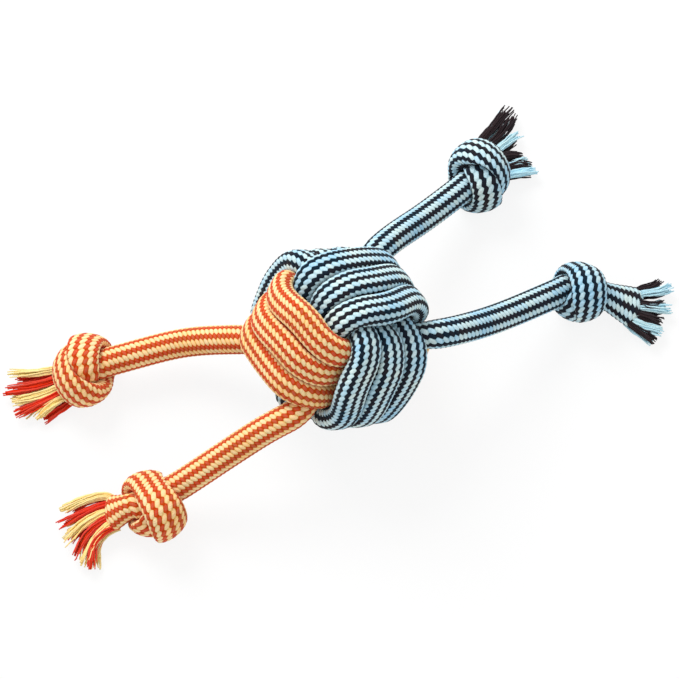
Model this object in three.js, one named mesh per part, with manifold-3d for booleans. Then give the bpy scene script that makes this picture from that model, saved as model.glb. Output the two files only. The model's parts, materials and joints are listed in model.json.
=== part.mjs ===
// Rope dog toy: a three-by-three monkey's fist of two ropes round a stuffed core, with four free legs
// that each end in an overhand knot and a frayed tassel.
// Millimetres, +Z up. The toy lies on the plane z = 0, and the origin is in the middle of the flat that
// the fist rests on.

import * as THREE from 'three';
import { mergeVertices } from 'three/addons/utils/BufferGeometryUtils.js';
import Module from 'manifold-3d';

const wasm = await Module();
wasm.setup();

// Rope
const ROPE_DIAMETER = 15;
const FIST_ROPE_DIAMETER = 12.2; // the same rope, squeezed between its neighbours in the fist
const KNOT_ROPE_DIAMETER = 10.5; // and drawn tight in the end knots

// Gaps
const CLEARANCE = 0.3; // between neighbouring pieces
const TURN_GAP = 0.75; // between neighbouring turns of one winding
const LAYER_GAP = 0.6; // between a winding and the one that it crosses
const STRAND_GAP = 0.8; // between the strands of a knot
const FLEX_GAP = 0.6; // behind a leg's rounded end, where it flexes

// Fist
const TURNS = 3;
const MIDDLE_BOW = 3.6; // how far the middle turn's outer stretch swells past its corners, where it shows
const SIDE_BOW = 1.6; // and the stretches of the turns beside it; the faces that it lies on stay flat
const HIDDEN_SHARE = 0.13; // share of a turn, either side of its hidden middle, where it changes rows
const HIDDEN_ROW = 0.74; // spacing of the rows at that middle, as a share of the pitch
const HIDDEN_DIAMETER = 8.6; // of the rope there, where it is squeezed most
const END_SETBACK = 1; // each hidden rope end stops this far from the middle
const FLAT_SHARE = 0.1; // depth of the flat on a resting strand, as a share of its diameter

// Lie of the fist: the elevation and sideways tilt of its front corner, and its spin about that corner
const CORNER_ELEVATION = 67;
const CORNER_TILT = 7;
const CORNER_SPIN = 63;

// Legs and knots
const ROOT_COVER = 13; // from the core to the hidden end of a leg's root
const KNOT_REACH = 1.8; // from a knot's middle to each of its rope faces, in strand spacings
const KNOT_FLARE = 0.5; // stretch over which the rope swells back to its free size, in strand spacings

// Tassels
const TASSEL_BUNDLES = 8;
const TASSEL_SPREAD = 13; // sideways, at the tips
const TASSEL_DEPTH = 5; // upwards, at the tips
const BUNDLE_DIAMETER = 6.4;
const BUNDLE_TIP_DIAMETER = 2.8;
const BUNDLE_SINK = 1; // how deep a bundle starts inside the collar
const BUNDLE_TAPER = 0.4; // share of a bundle's length before it thins
const FAN_PLACE = 0.33; // share of a bundle's length where it has fanned out most
const FAN_SPREAD = 0.8; // share of the spread that it has reached there
const FAN_DROP = 0.4; // share of the way down to the floor that it has sunk there

// Facets
const ROPE_SIDES = 8;
const LEG_SIDES = 10;
const BUNDLE_SIDES = 5;
const CORE_SIDES = 16;
const CORE_RINGS = 12;
const CORNER_STEPS = 4;
const STRETCH_STEPS = 4;
const KNOT_STEPS = 40;
const LEG_STEPS = 5;
const ROUND_STEPS = 3;
const ROUND_TIP = 0.25; // how far short of the pole a rounded end's first ring is, in steps
const BUNDLE_STEPS = 3;
const ROUTE_SAMPLES = 400;

// Half of a tight overhand knot, from its middle out to one rope face, in strand spacings, with the rope
// running along X. The other half is the same, turned half round about Z.
const KNOT_HALF = [
  [-0.5, 0.62, 0.66],
  [-0.92, 0.97, 0.27],
  [-1.15, 1, -0.32],
  [-1.14, 0.7, -0.9],
  [-0.9, 0.17, -1.2],
  [-0.46, -0.31, -1.13],
  [0, -0.53, -0.75],
  [0.42, -0.3, -0.3],
  [0.96, 0, -0.15],
  [1.5, 0, -0.13],
];
const KNOT_MIDDLE = [0, 0, 0.72];

// Routes of the legs, measured from below the middle of the fist. Each leaves the fist by a corner, given
// as signs along its top, left and right axes, flexes at swing and bend, and runs into its knot along the
// heading. Roll 0 has the knot's single strand on top. Past the knot comes a collar of whole rope, and then
// a fringe of yarn, which bends off the heading by turn.
const LEGS = [
  { name: 'orange_left', rope: 'orange', corner: [-1, 1, -1], swing: [-57, 7, 29], bend: [-80, 9, 20],
    knot: [-128, -3], heading: 205, roll: 180, collar: 4.5, fringe: 21, turn: -14 },
  { name: 'orange_front', rope: 'orange', corner: [-1, 1, 1], swing: [-33, -48, 48], bend: [-54, -57, 35],
    knot: [-93, -79], heading: 219, roll: 0, collar: 5, fringe: 22, turn: -7 },
  { name: 'blue_back', rope: 'blue', corner: [1, -1, -1], swing: [27, 57, 42], bend: [43, 74, 30],
    knot: [71, 105], heading: 47, roll: 180, collar: 4.5, fringe: 12, turn: -6 },
  { name: 'blue_right', rope: 'blue', corner: [1, -1, 1], swing: [58, 1, 54], bend: [80, 15, 37],
    knot: [124, 39], heading: 13, roll: 0, collar: 8, fringe: 19, turn: -18 },
];

const COLORS = { orange: 0xd8502c, blue: 0x6fb4c4, core: 0xcfc3ae };
const ROUGHNESS = 0.9;

// Spacings that follow from the rope
const pitch = FIST_ROPE_DIAMETER + TURN_GAP;
const layer = FIST_ROPE_DIAMETER + LAYER_GAP;
const bandHalf = (TURNS / 2) * pitch;
const underReach = pitch + layer; // centreline of a turn where it runs under its neighbour
const overReach = underReach + layer; // and where it runs over the next
const fistRadius = FIST_ROPE_DIAMETER / 2;
const coreRadius = underReach - fistRadius - CLEARANCE;
const knotUnit = KNOT_ROPE_DIAMETER + STRAND_GAP;
const strandRadius = KNOT_ROPE_DIAMETER / 2;
const legRadius = ROPE_DIAMETER / 2;

const vector = (p) => new THREE.Vector3(...p);
const radians = THREE.MathUtils.degToRad;
const clamp = THREE.MathUtils.clamp;
const lerp = THREE.MathUtils.lerp;
const smoothstep = THREE.MathUtils.smoothstep;

// Level direction at a plan angle from +X.
const level = (angle) => vector([Math.cos(radians(angle)), Math.sin(radians(angle)), 0]);

// Axes of the fist: they point out of the top, left and right faces that show round its front corner.
function fistAxes() {
  const elevation = radians(CORNER_ELEVATION);
  const tilt = radians(CORNER_TILT);
  const across = vector([1, 0, 0]);
  const sight = vector([0, -Math.cos(elevation), Math.sin(elevation)]);
  const up = vector([0, Math.sin(elevation), Math.cos(elevation)]);
  const corner = sight.clone().multiplyScalar(Math.cos(tilt)).addScaledVector(across, Math.sin(tilt));
  const side = across.clone().multiplyScalar(Math.cos(tilt)).addScaledVector(sight, -Math.sin(tilt));
  return [0, 120, 240].map((step) => {
    const angle = radians(CORNER_SPIN + step);
    return corner.clone().multiplyScalar(Math.sqrt(1 / 3))
      .addScaledVector(side, Math.sqrt(2 / 3) * Math.cos(angle))
      .addScaledVector(up, Math.sqrt(2 / 3) * Math.sin(angle));
  });
}

// One turn of a winding as [over, under] points: a rounded rectangle that starts and ends in the middle
// of its hidden under stretch.
function turnOutline() {
  const outline = [];
  const corners = [[1, -1], [1, 1], [-1, 1], [-1, -1]];
  const stretch = (from, to, first, last) => {
    for (let step = first; step < last; step += 1) {
      const share = step / STRETCH_STEPS;
      outline.push([lerp(from[0], to[0], share), lerp(from[1], to[1], share)]);
    }
  };
  const arcPoint = (quarter, share) => {
    const angle = radians(90 * (quarter - 1 + share));
    const [over, under] = corners[quarter % 4];
    return [
      over * (overReach - layer) + layer * Math.cos(angle),
      under * (underReach - layer) + layer * Math.sin(angle),
    ];
  };
  stretch(arcPoint(3, 1), arcPoint(0, 0), STRETCH_STEPS / 2, STRETCH_STEPS);
  corners.forEach((_, quarter) => {
    for (let step = 0; step < CORNER_STEPS; step += 1) outline.push(arcPoint(quarter, step / CORNER_STEPS));
    const last = quarter === 3 ? STRETCH_STEPS / 2 : STRETCH_STEPS;
    stretch(arcPoint(quarter, 1), arcPoint((quarter + 1) % 4, 0), 0, last);
  });
  return outline;
}

// How far the rope is, after so many turns, out of a hidden middle: 0 there, and 1 where it shows.
const shownAfter = (turns) => Math.min(Math.abs(turns - Math.round(turns)) / HIDDEN_SHARE, 1);

// Row that the rope is in after so many turns: -1, 0 and 1 where it shows, and closer at a hidden middle.
function rowAfter(turns) {
  const shownRow = clamp(Math.floor(turns), 0, TURNS - 1) - (TURNS - 1) / 2;
  const hiddenRow = (Math.round(turns) - TURNS / 2) * HIDDEN_ROW;
  return lerp(hiddenRow, shownRow, shownAfter(turns));
}

// Centreline of a winding of three turns that runs over the faces of one axis and under those of the
// next, and steps along the third, about the middle of the fist.
function windingPath({ over, under, along }) {
  const outline = turnOutline();
  const lengths = outline.map((p, i) => {
    const next = outline[(i + 1) % outline.length];
    return Math.hypot(next[0] - p[0], next[1] - p[1]);
  });
  const perimeter = lengths.reduce((sum, length) => sum + length, 0);
  const path = [];
  const radii = [];
  const add = (turns, [x, y]) => {
    const row = rowAfter(turns);
    const bow = lerp(MIDDLE_BOW, SIDE_BOW, Math.min(Math.abs(row), 1));
    const swell = x > 0 ? bow * Math.max(0, 1 - (y / bandHalf) ** 2) : 0;
    path.push(vector([0, 0, 0])
      .addScaledVector(over, x + swell)
      .addScaledVector(under, y)
      .addScaledVector(along, row * pitch));
    radii.push(lerp(HIDDEN_DIAMETER, FIST_ROPE_DIAMETER, shownAfter(turns)) / 2);
  };
  add(END_SETBACK / perimeter, [END_SETBACK, -underReach]);
  for (let turn = 0; turn < TURNS; turn += 1) {
    let run = 0;
    outline.forEach((point, i) => {
      if (turn > 0 || i > 0) add(turn + run / perimeter, point);
      run += lengths[i];
    });
  }
  add(TURNS - END_SETBACK / perimeter, [-END_SETBACK, -underReach]);
  return { path, radii };
}

// A closed tube along points, with its own radius at each.
function tube(points, radiusAt, sides) {
  const positions = [];
  const index = [];
  const count = points.length;
  const tangentAt = (i) => {
    const before = points[Math.max(i - 1, 0)];
    const after = points[Math.min(i + 1, count - 1)];
    return after.clone().sub(before).normalize();
  };
  const normal = Math.abs(tangentAt(0).z) < Math.SQRT1_2 ? vector([0, 0, 1]) : vector([1, 0, 0]);
  const binormal = vector([0, 0, 0]);
  points.forEach((point, i) => {
    const tangent = tangentAt(i);
    normal.addScaledVector(tangent, -normal.dot(tangent)).normalize();
    binormal.crossVectors(tangent, normal);
    for (let side = 0; side < sides; side += 1) {
      const angle = (2 * Math.PI * side) / sides;
      const rim = point.clone()
        .addScaledVector(normal, radiusAt(i) * Math.cos(angle))
        .addScaledVector(binormal, radiusAt(i) * Math.sin(angle));
      positions.push(...rim.toArray());
    }
  });
  const corner = (ring, side) => ring * sides + (side % sides);
  for (let ring = 0; ring < count - 1; ring += 1) {
    for (let side = 0; side < sides; side += 1) {
      const [a, b] = [corner(ring, side), corner(ring, side + 1)];
      const [c, d] = [corner(ring + 1, side), corner(ring + 1, side + 1)];
      index.push(a, b, c, b, d, c);
    }
  }
  const startCap = positions.length / 3;
  const endCap = startCap + 1;
  positions.push(...points[0].toArray(), ...points[count - 1].toArray());
  for (let side = 0; side < sides; side += 1) {
    index.push(startCap, corner(0, side + 1), corner(0, side));
    index.push(endCap, corner(count - 1, side), corner(count - 1, side + 1));
  }
  const geometry = new THREE.BufferGeometry();
  geometry.setAttribute('position', new THREE.Float32BufferAttribute(positions, 3));
  geometry.setIndex(index);
  return geometry;
}

function toSolid(geometry) {
  return new wasm.Manifold(new wasm.Mesh({
    numProp: 3,
    vertProperties: new Float32Array(geometry.attributes.position.array),
    triVerts: new Uint32Array(geometry.index.array),
  }));
}

function toGeometry(solid) {
  const mesh = solid.getMesh();
  const geometry = new THREE.BufferGeometry();
  geometry.setAttribute('position', new THREE.BufferAttribute(new Float32Array(mesh.vertProperties), 3));
  geometry.setIndex(new THREE.BufferAttribute(new Uint32Array(mesh.triVerts), 1));
  return geometry;
}

// What lies below the plane that the toy rests on, as a block to cut away.
function belowFloor() {
  const width = 4 * Math.max(...LEGS.flatMap(({ knot }) => knot.map(Math.abs))); // well past the tassels
  const block = new THREE.BoxGeometry(width, width, ROPE_DIAMETER);
  block.translate(0, 0, -ROPE_DIAMETER / 2);
  block.deleteAttribute('normal');
  block.deleteAttribute('uv');
  return toSolid(mergeVertices(block));
}

const floorBlock = belowFloor();
const cutFlat = (geometry) => toGeometry(toSolid(geometry).subtract(floorBlock));

// Least gap between the surfaces of a round rope and itself, measured on its points. Points nearer than
// reach along the rope are neighbours.
function leastSelfGap(points, radiusAt, reach) {
  const runs = [0];
  for (let i = 1; i < points.length; i += 1) runs.push(runs[i - 1] + points[i].distanceTo(points[i - 1]));
  let least = Infinity;
  points.forEach((p, i) => {
    points.slice(0, i).forEach((q, j) => {
      if (runs[i] - runs[j] > reach) least = Math.min(least, p.distanceTo(q) - radiusAt(i) - radiusAt(j));
    });
  });
  return least;
}

const group = new THREE.Group();

function addPiece(name, geometry, color) {
  geometry.computeVertexNormals();
  const material = new THREE.MeshStandardMaterial({
    color: COLORS[color],
    roughness: ROUGHNESS,
    metalness: 0,
  });
  const mesh = new THREE.Mesh(geometry, material);
  mesh.name = name;
  group.add(mesh);
}

// The fist stands on its lowest strand, which is cut flat, and the origin is moved there.
const [top, left, right] = fistAxes();
const windings = [
  { name: 'orange_winding', rope: 'orange', over: left, under: right, along: top },
  { name: 'blue_top_winding', rope: 'blue', over: top, under: left, along: right },
  { name: 'blue_side_winding', rope: 'blue', over: right, under: top, along: left },
].map((winding) => ({ ...winding, ...windingPath(winding) }));
const lowest = windings.flatMap(({ path }) => path).reduce((low, p) => (p.z < low.z ? p : low));
const fistCentre = vector([0, 0, fistRadius - lowest.z - FLAT_SHARE * FIST_ROPE_DIAMETER]);
group.position.set(-lowest.x, -lowest.y, 0);

const woundSpace = windings.map(({ name, rope, path, radii }) => {
  const lifted = path.map((p) => p.clone().add(fistCentre));
  addPiece(name, cutFlat(tube(lifted, (i) => radii[i], ROPE_SIDES)), rope);
  const gap = leastSelfGap(lifted, (i) => radii[i], 2 * FIST_ROPE_DIAMETER);
  console.log(`${name}: least gap to itself ${gap.toFixed(2)} mm`);
  return toSolid(tube(lifted, (i) => radii[i] + CLEARANCE, ROPE_SIDES));
});

const coreBall = new THREE.SphereGeometry(coreRadius, CORE_SIDES, CORE_RINGS);
addPiece('core_ball', coreBall.translate(...fistCentre.toArray()), 'core');

// Centreline of a knot in its own axes: the middle, one half, and the other half turned round.
function knotCurve() {
  const half = KNOT_HALF.map((p) => vector(p));
  const otherHalf = half.map((p) => vector([-p.x, -p.y, p.z])).reverse();
  const face = vector([KNOT_REACH, 0, half.at(-1).z]);
  const otherFace = vector([-KNOT_REACH, 0, face.z]);
  const points = [otherFace, ...otherHalf, vector(KNOT_MIDDLE), ...half, face];
  return new THREE.CatmullRomCurve3(points.map((p) => p.multiplyScalar(knotUnit)));
}

const knotPoints = knotCurve().getSpacedPoints(KNOT_STEPS);
const knotStep = knotCurve().getLength() / KNOT_STEPS;
const knotLow = Math.min(...knotPoints.map((p) => p.z));
const knotHigh = Math.max(...knotPoints.map((p) => p.z));

// Radius along a knot, which swells to the free rope's at both faces.
function knotRadius(i) {
  const fromFace = Math.min(i, KNOT_STEPS - i) * knotStep;
  return lerp(legRadius, strandRadius, smoothstep(fromFace, 0, KNOT_FLARE * knotUnit));
}

const knotGap = leastSelfGap(knotPoints, knotRadius, 2 * KNOT_ROPE_DIAMETER);
console.log(`knots: least gap to themselves ${knotGap.toFixed(2)} mm`);

// Part of a curve between two shares of its length, in even steps, without its first point.
function stretchOf(curve, from, to) {
  const points = [];
  for (let step = 1; step <= LEG_STEPS; step += 1) {
    points.push(curve.getPointAt(lerp(from, to, step / LEG_STEPS)));
  }
  return points;
}

// Share of a curve's length at its point nearest to a target.
function shareNear(curve, target) {
  const samples = curve.getSpacedPoints(ROUTE_SAMPLES);
  const distances = samples.map((p) => p.distanceTo(target));
  return distances.indexOf(Math.min(...distances)) / ROUTE_SAMPLES;
}

// A leg's moving stretch along points: a rope whose first end is rounded about the flex before them.
function flexingTube(flex, points) {
  const back = flex.clone().sub(points[0]).normalize();
  const rings = [];
  for (let step = 0; step < ROUND_STEPS; step += 1) {
    const angle = radians(90 * (1 - (step + ROUND_TIP) / ROUND_STEPS));
    const point = flex.clone().addScaledVector(back, legRadius * Math.sin(angle));
    rings.push({ point, radius: legRadius * Math.cos(angle) });
  }
  [flex, ...points].forEach((point) => rings.push({ point, radius: legRadius }));
  return tube(rings.map(({ point }) => point), (i) => rings[i].radius, LEG_SIDES);
}

// A frayed rope end: bundles of yarn that fan out from a collar and sink to the floor.
function tassel(root, { heading, collar, fringe, turn }) {
  const forward = level(heading);
  const bent = level(heading + turn);
  const sideways = level(heading + turn + 90);
  const bundleRadius = BUNDLE_DIAMETER / 2;
  const inner = legRadius - bundleRadius;
  const collarEnd = root.clone().addScaledVector(forward, collar);
  let solid = toSolid(tube([root, collarEnd], () => legRadius, LEG_SIDES));
  for (let bundle = 0; bundle < TASSEL_BUNDLES; bundle += 1) {
    const angle = (2 * Math.PI * (bundle + 0.5)) / TASSEL_BUNDLES;
    const [across, upwards] = [Math.cos(angle), Math.sin(angle)];
    const start = collarEnd.clone().addScaledVector(forward, -BUNDLE_SINK)
      .addScaledVector(sideways, inner * across);
    start.z += inner * upwards;
    const tip = collarEnd.clone().addScaledVector(bent, fringe)
      .addScaledVector(sideways, TASSEL_SPREAD * across);
    tip.z = BUNDLE_TIP_DIAMETER / 2 + TASSEL_DEPTH * (1 + upwards);
    const middle = collarEnd.clone().addScaledVector(bent, FAN_PLACE * fringe)
      .addScaledVector(sideways, FAN_SPREAD * TASSEL_SPREAD * across);
    middle.z = Math.max(bundleRadius, lerp(root.z, tip.z, FAN_DROP) + inner * upwards);
    const points = new THREE.CatmullRomCurve3([start, middle, tip]).getSpacedPoints(BUNDLE_STEPS);
    const radiusAt = (i) => {
      const taper = smoothstep(i / BUNDLE_STEPS, BUNDLE_TAPER, 1);
      return lerp(BUNDLE_DIAMETER, BUNDLE_TIP_DIAMETER, taper) / 2;
    };
    solid = solid.add(toSolid(tube(points, radiusAt, BUNDLE_SIDES)));
  }
  return cutFlat(toGeometry(solid));
}

LEGS.forEach((leg) => {
  const { name, rope, corner, swing, bend, knot, heading, roll } = leg;
  const ahead = level(heading);
  const rest = strandRadius - FLAT_SHARE * KNOT_ROPE_DIAMETER;
  const knotCentre = vector([...knot, rest + (roll === 180 ? knotHigh : -knotLow)]);
  const placed = new THREE.Matrix4().makeRotationZ(radians(heading))
    .multiply(new THREE.Matrix4().makeRotationX(radians(roll)))
    .setPosition(knotCentre);
  const knotPath = knotPoints.map((p) => p.clone().applyMatrix4(placed));
  addPiece(`${name}_knot`, cutFlat(tube(knotPath, knotRadius, ROPE_SIDES)), rope);

  const outward = vector([0, 0, 0]);
  [top, left, right].forEach((axis, i) => outward.addScaledVector(axis, corner[i] / Math.sqrt(3)));
  const hidden = fistCentre.clone().addScaledVector(outward, coreRadius + ROOT_COVER);
  const mouth = fistCentre.clone().addScaledVector(outward, overReach + fistRadius);
  const entry = knotPath[0];
  const lead = entry.clone().addScaledVector(ahead, -legRadius);
  const legEnd = entry.clone().addScaledVector(ahead, -CLEARANCE);
  const [swingFlex, bendFlex] = [vector(swing), vector(bend)];
  const route = new THREE.CatmullRomCurve3([hidden, mouth, swingFlex, bendFlex, lead, entry]);
  const swingShare = shareNear(route, swingFlex);
  const bendShare = shareNear(route, bendFlex);
  const leadShare = shareNear(route, lead);
  const roundShare = (legRadius + FLEX_GAP) / route.getLength();

  const rootPath = [hidden, ...stretchOf(route, 0, swingShare - roundShare)];
  let root = toSolid(tube(rootPath, () => legRadius, LEG_SIDES));
  woundSpace.forEach((space) => {
    root = root.subtract(space);
  });
  const [plug] = root.decompose().sort((a, b) => b.volume() - a.volume());
  addPiece(`${name}_leg_root`, toGeometry(plug), rope);
  const innerPath = stretchOf(route, swingShare, bendShare - roundShare);
  addPiece(`${name}_leg_inner`, flexingTube(swingFlex, innerPath), rope);
  const outerPath = [...stretchOf(route, bendShare, leadShare), legEnd];
  addPiece(`${name}_leg_outer`, flexingTube(bendFlex, outerPath), rope);

  const tasselRoot = knotPath.at(-1).clone().addScaledVector(ahead, CLEARANCE);
  addPiece(`${name}_tassel`, tassel(tasselRoot, leg), rope);
});

export default group;
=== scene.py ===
"""Rope dog toy: braided rope, end knots and frayed tassels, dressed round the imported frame."""

import json
import logging
import math
from dataclasses import dataclass, fields, replace
from enum import Enum

import bpy
import numpy as np
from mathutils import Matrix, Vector
from mathutils.kdtree import KDTree


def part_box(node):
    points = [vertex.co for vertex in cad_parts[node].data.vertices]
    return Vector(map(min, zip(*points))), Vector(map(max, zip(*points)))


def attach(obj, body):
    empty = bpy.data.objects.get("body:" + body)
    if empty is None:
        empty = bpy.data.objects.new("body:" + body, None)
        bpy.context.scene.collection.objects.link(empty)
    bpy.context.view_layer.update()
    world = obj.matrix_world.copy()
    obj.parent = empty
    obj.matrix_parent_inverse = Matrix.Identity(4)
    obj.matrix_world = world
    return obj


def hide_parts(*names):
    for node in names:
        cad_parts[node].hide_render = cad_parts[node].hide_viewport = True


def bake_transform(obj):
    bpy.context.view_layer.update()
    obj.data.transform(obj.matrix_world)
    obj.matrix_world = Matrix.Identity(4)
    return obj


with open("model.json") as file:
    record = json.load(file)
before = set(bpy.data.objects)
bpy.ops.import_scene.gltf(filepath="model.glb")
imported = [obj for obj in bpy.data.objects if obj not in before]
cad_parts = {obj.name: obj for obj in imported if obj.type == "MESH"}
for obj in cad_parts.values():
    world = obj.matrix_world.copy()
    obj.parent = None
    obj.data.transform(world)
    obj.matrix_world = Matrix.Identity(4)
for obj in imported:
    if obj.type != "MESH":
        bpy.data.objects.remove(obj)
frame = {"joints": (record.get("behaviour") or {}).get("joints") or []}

LOG = logging.getLogger("rope_toy")
MM = 0.001
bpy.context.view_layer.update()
FLOOR_SKIM = 0.05 * MM
UP = np.array([0, 0, 1.0])

Colour = tuple[float, float, float, float]
Span = tuple[float, float, float, float]
Socket = bpy.types.NodeSocket


def linear(red: float, green: float, blue: float) -> Colour:
    """Turns a display colour into the linear colour that a shader takes.

    Args:
        red: Display red, 0 to 255.
        green: Display green, 0 to 255.
        blue: Display blue, 0 to 255.

    Returns:
        The linear colour, with full alpha.
    """
    shares = [value / 255 for value in (red, green, blue)]
    lit = [s / 12.92 if s <= 0.04045 else ((s + 0.055) / 1.055) ** 2.4 for s in shares]
    return lit[0], lit[1], lit[2], 1.0


def smoothstep(value: np.ndarray, low: float, high: float) -> np.ndarray:
    """Rises smoothly from 0 at low to 1 at high.

    Args:
        value: Where to read the step.
        low: Start of the rise.
        high: End of the rise.

    Returns:
        The step's height at each value.
    """
    share = np.clip((value - low) / (high - low), 0, 1)
    return share * share * (3 - 2 * share)


def unit(vectors: np.ndarray) -> np.ndarray:
    """Scales each row to length 1."""
    return vectors / np.linalg.norm(vectors, axis=-1, keepdims=True)


def level(angle: float) -> np.ndarray:
    """Gives the level direction at a plan angle from +X, in degrees."""
    return np.array([math.cos(math.radians(angle)), math.sin(math.radians(angle)), 0])


def runs_of(points: np.ndarray) -> np.ndarray:
    """Gives the distance along a line at each of its points."""
    return np.concatenate([[0], np.cumsum(np.linalg.norm(np.diff(points[:, :3], axis=0), axis=1))])


def resampled(points: np.ndarray, step: float) -> np.ndarray:
    """Spaces a line's points evenly.

    Args:
        points: Rows of x, y, z and any values that go with them.
        step: Spacing wanted.

    Returns:
        Rows of the same kind, evenly spaced.
    """
    runs = runs_of(points)
    places = np.linspace(0, runs[-1], max(2, round(runs[-1] / step) + 1))
    return np.column_stack([np.interp(places, runs, column) for column in points.T])


def softened(points: np.ndarray, reach: float, widths: int = 3) -> np.ndarray:
    """Rounds off a line of evenly spaced points, with its ends kept.

    Args:
        points: Rows of x, y, z and any values that go with them.
        reach: Distance along the line over which it is averaged.
        widths: How many of those distances the average takes in, each way.

    Returns:
        The softened rows.
    """
    step = np.linalg.norm(points[1, :3] - points[0, :3])
    half = max(1, round(widths * reach / step))
    weights = np.exp(-0.5 * (np.arange(-half, half + 1) * step / reach) ** 2)
    weights /= weights.sum()
    before = 2 * points[0] - points[half:0:-1]
    after = 2 * points[-1] - points[-2:-half - 2:-1]
    padded = np.vstack([before, points, after])
    return np.column_stack([np.convolve(column, weights, "valid") for column in padded.T])


def smooth_line(controls: np.ndarray, per_span: int = 40) -> np.ndarray:
    """Draws a centripetal Catmull-Rom curve through control points.

    Args:
        controls: Points that the curve goes through.
        per_span: Samples between two control points.

    Returns:
        Points along the curve.
    """
    ends = np.vstack([2 * controls[0] - controls[1], controls, 2 * controls[-1] - controls[-2]])
    knots = np.concatenate([[0], np.cumsum(np.linalg.norm(np.diff(ends, axis=0), axis=1) ** 0.5)])
    pieces = []
    for i in range(1, len(ends) - 2):
        t = np.linspace(knots[i], knots[i + 1], per_span, endpoint=False)[:, None]
        t0, t1, t2, t3 = knots[i - 1:i + 3]
        p0, p1, p2, p3 = ends[i - 1:i + 3]
        a1 = (t1 - t) / (t1 - t0) * p0 + (t - t0) / (t1 - t0) * p1
        a2 = (t2 - t) / (t2 - t1) * p1 + (t - t1) / (t2 - t1) * p2
        a3 = (t3 - t) / (t3 - t2) * p2 + (t - t2) / (t3 - t2) * p3
        b1 = (t2 - t) / (t2 - t0) * a1 + (t - t0) / (t2 - t0) * a2
        b2 = (t3 - t) / (t3 - t1) * a2 + (t - t1) / (t3 - t1) * a3
        pieces.append((t2 - t) / (t2 - t1) * b1 + (t - t1) / (t2 - t1) * b2)
    return np.vstack([*pieces, controls[-1:]])


@dataclass(frozen=True)
class RopeLine:
    """A rope's centreline with its thickness and the directions across it.

    Attributes:
        rope: Name of the whole rope.
        points: Centres of the rings.
        radius: Half thickness at each ring.
        run: Distance along the whole rope at each ring.
        side: Direction across the rope at each ring.
        out: Direction across the rope, square to side.
        swell: Scale of each ring, below 1 where an end is tucked into the next stretch.
        outer: Direction out of the knot or fist that the rope is part of, at each ring.
        widen: How much wider than round the rope is, square to outer, at each ring.
        gather: How much closer together the braid's columns lie on the outer side, at each ring.
        tucked: Scale of the rings that are tucked into the next stretch.
        flattening: How much flatter a rope gets as it is widened.
    """

    rope: str
    points: np.ndarray
    radius: np.ndarray
    run: np.ndarray
    side: np.ndarray
    out: np.ndarray
    swell: np.ndarray
    outer: np.ndarray
    widen: np.ndarray
    gather: np.ndarray
    tucked: float = 0.95
    flattening: float = 0.6

    @classmethod
    def along(cls, rope: str, rows: np.ndarray, hint: np.ndarray, carried: bool) -> "RopeLine":
        """Sets the directions across a line.

        Args:
            rope: Name of the whole rope.
            rows: x, y, z and half thickness at each ring.
            hint: Rough direction of side at the first ring.
            carried: Whether side is carried along without twist, or kept near the hint all the way.

        Returns:
            The rope's line.
        """
        points = rows[:, :3]
        tangents = unit(np.gradient(points, axis=0))
        side = np.empty_like(points)
        last = hint
        for i, tangent in enumerate(tangents):
            guide = last if carried else hint
            across = guide - tangent * np.dot(guide, tangent)
            last = across / np.linalg.norm(across)
            side[i] = last
        out = np.cross(tangents, side)
        ones = np.ones(len(points))
        return cls(rope, points, rows[:, 3], runs_of(points), side, out, ones, out, ones, 0 * ones)

    def shaped(self, outer: np.ndarray, widen: np.ndarray, gather: np.ndarray) -> "RopeLine":
        """Sets how the rope is flattened.

        Args:
            outer: Rough direction out of the knot or fist at each ring.
            widen: How much wider than round the rope is at each ring.
            gather: How much closer together the columns lie on the outer side at each ring.

        Returns:
            The flattened rope's line.
        """
        tangents = np.cross(self.side, self.out)
        square = outer - tangents * np.sum(outer * tangents, axis=1, keepdims=True)
        return replace(self, outer=unit(square), widen=widen, gather=gather)

    def cut(self, first: int, last: int, tuck: int = 3) -> "RopeLine":
        """Gives a stretch of the rope, with its cut ends tucked into the stretches beside it.

        Args:
            first: The stretch's first ring.
            last: Its last ring.
            tuck: Rings that go on inside the next stretch.

        Returns:
            The stretch.
        """
        low, high = max(0, first - tuck), min(len(self.points) - 1, last + tuck)
        part = slice(low, high + 1)
        ring = np.arange(low, high + 1)
        values = {field.name: getattr(self, field.name) for field in fields(self)}
        parts = {name: rows[part] for name, rows in values.items() if isinstance(rows, np.ndarray)}
        parts["swell"] = np.where((ring < first) | (ring > last), self.tucked, 1.0)
        return replace(self, **parts)

    def widened(self, offsets: np.ndarray) -> np.ndarray:
        """Widens and flattens the rings.

        Args:
            offsets: From each ring's centre to its points, as rings by sides by 3.

        Returns:
            The changed offsets.
        """
        across = np.cross(np.cross(self.side, self.out), self.outer)[:, None, :]
        outer = self.outer[:, None, :]
        more = (self.widen - 1)[:, None, None]
        less = self.flattening * (1 - 1 / self.widen)[:, None, None]
        wider = more * np.sum(offsets * across, axis=2, keepdims=True) * across
        return offsets + wider - less * np.sum(offsets * outer, axis=2, keepdims=True) * outer

    def turns(self, sides: int) -> np.ndarray:
        """Gives the share of the way round at each point of each ring, in the braid's own measure.

        Args:
            sides: Points round a ring.

        Returns:
            Shares as rings by sides.
        """
        facing = np.arctan2(np.sum(self.outer * self.out, axis=1), np.sum(self.outer * self.side, axis=1))
        turn = 2 * math.pi * np.arange(sides) / sides
        drawn = self.gather[:, None] * np.sin(turn[None, :] - facing[:, None])
        return (turn[None, :] + drawn) / (2 * math.pi)

    def nearest(self, place: np.ndarray) -> int:
        """Gives the ring nearest to a place."""
        return int(np.argmin(np.linalg.norm(self.points - place, axis=1)))


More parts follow.
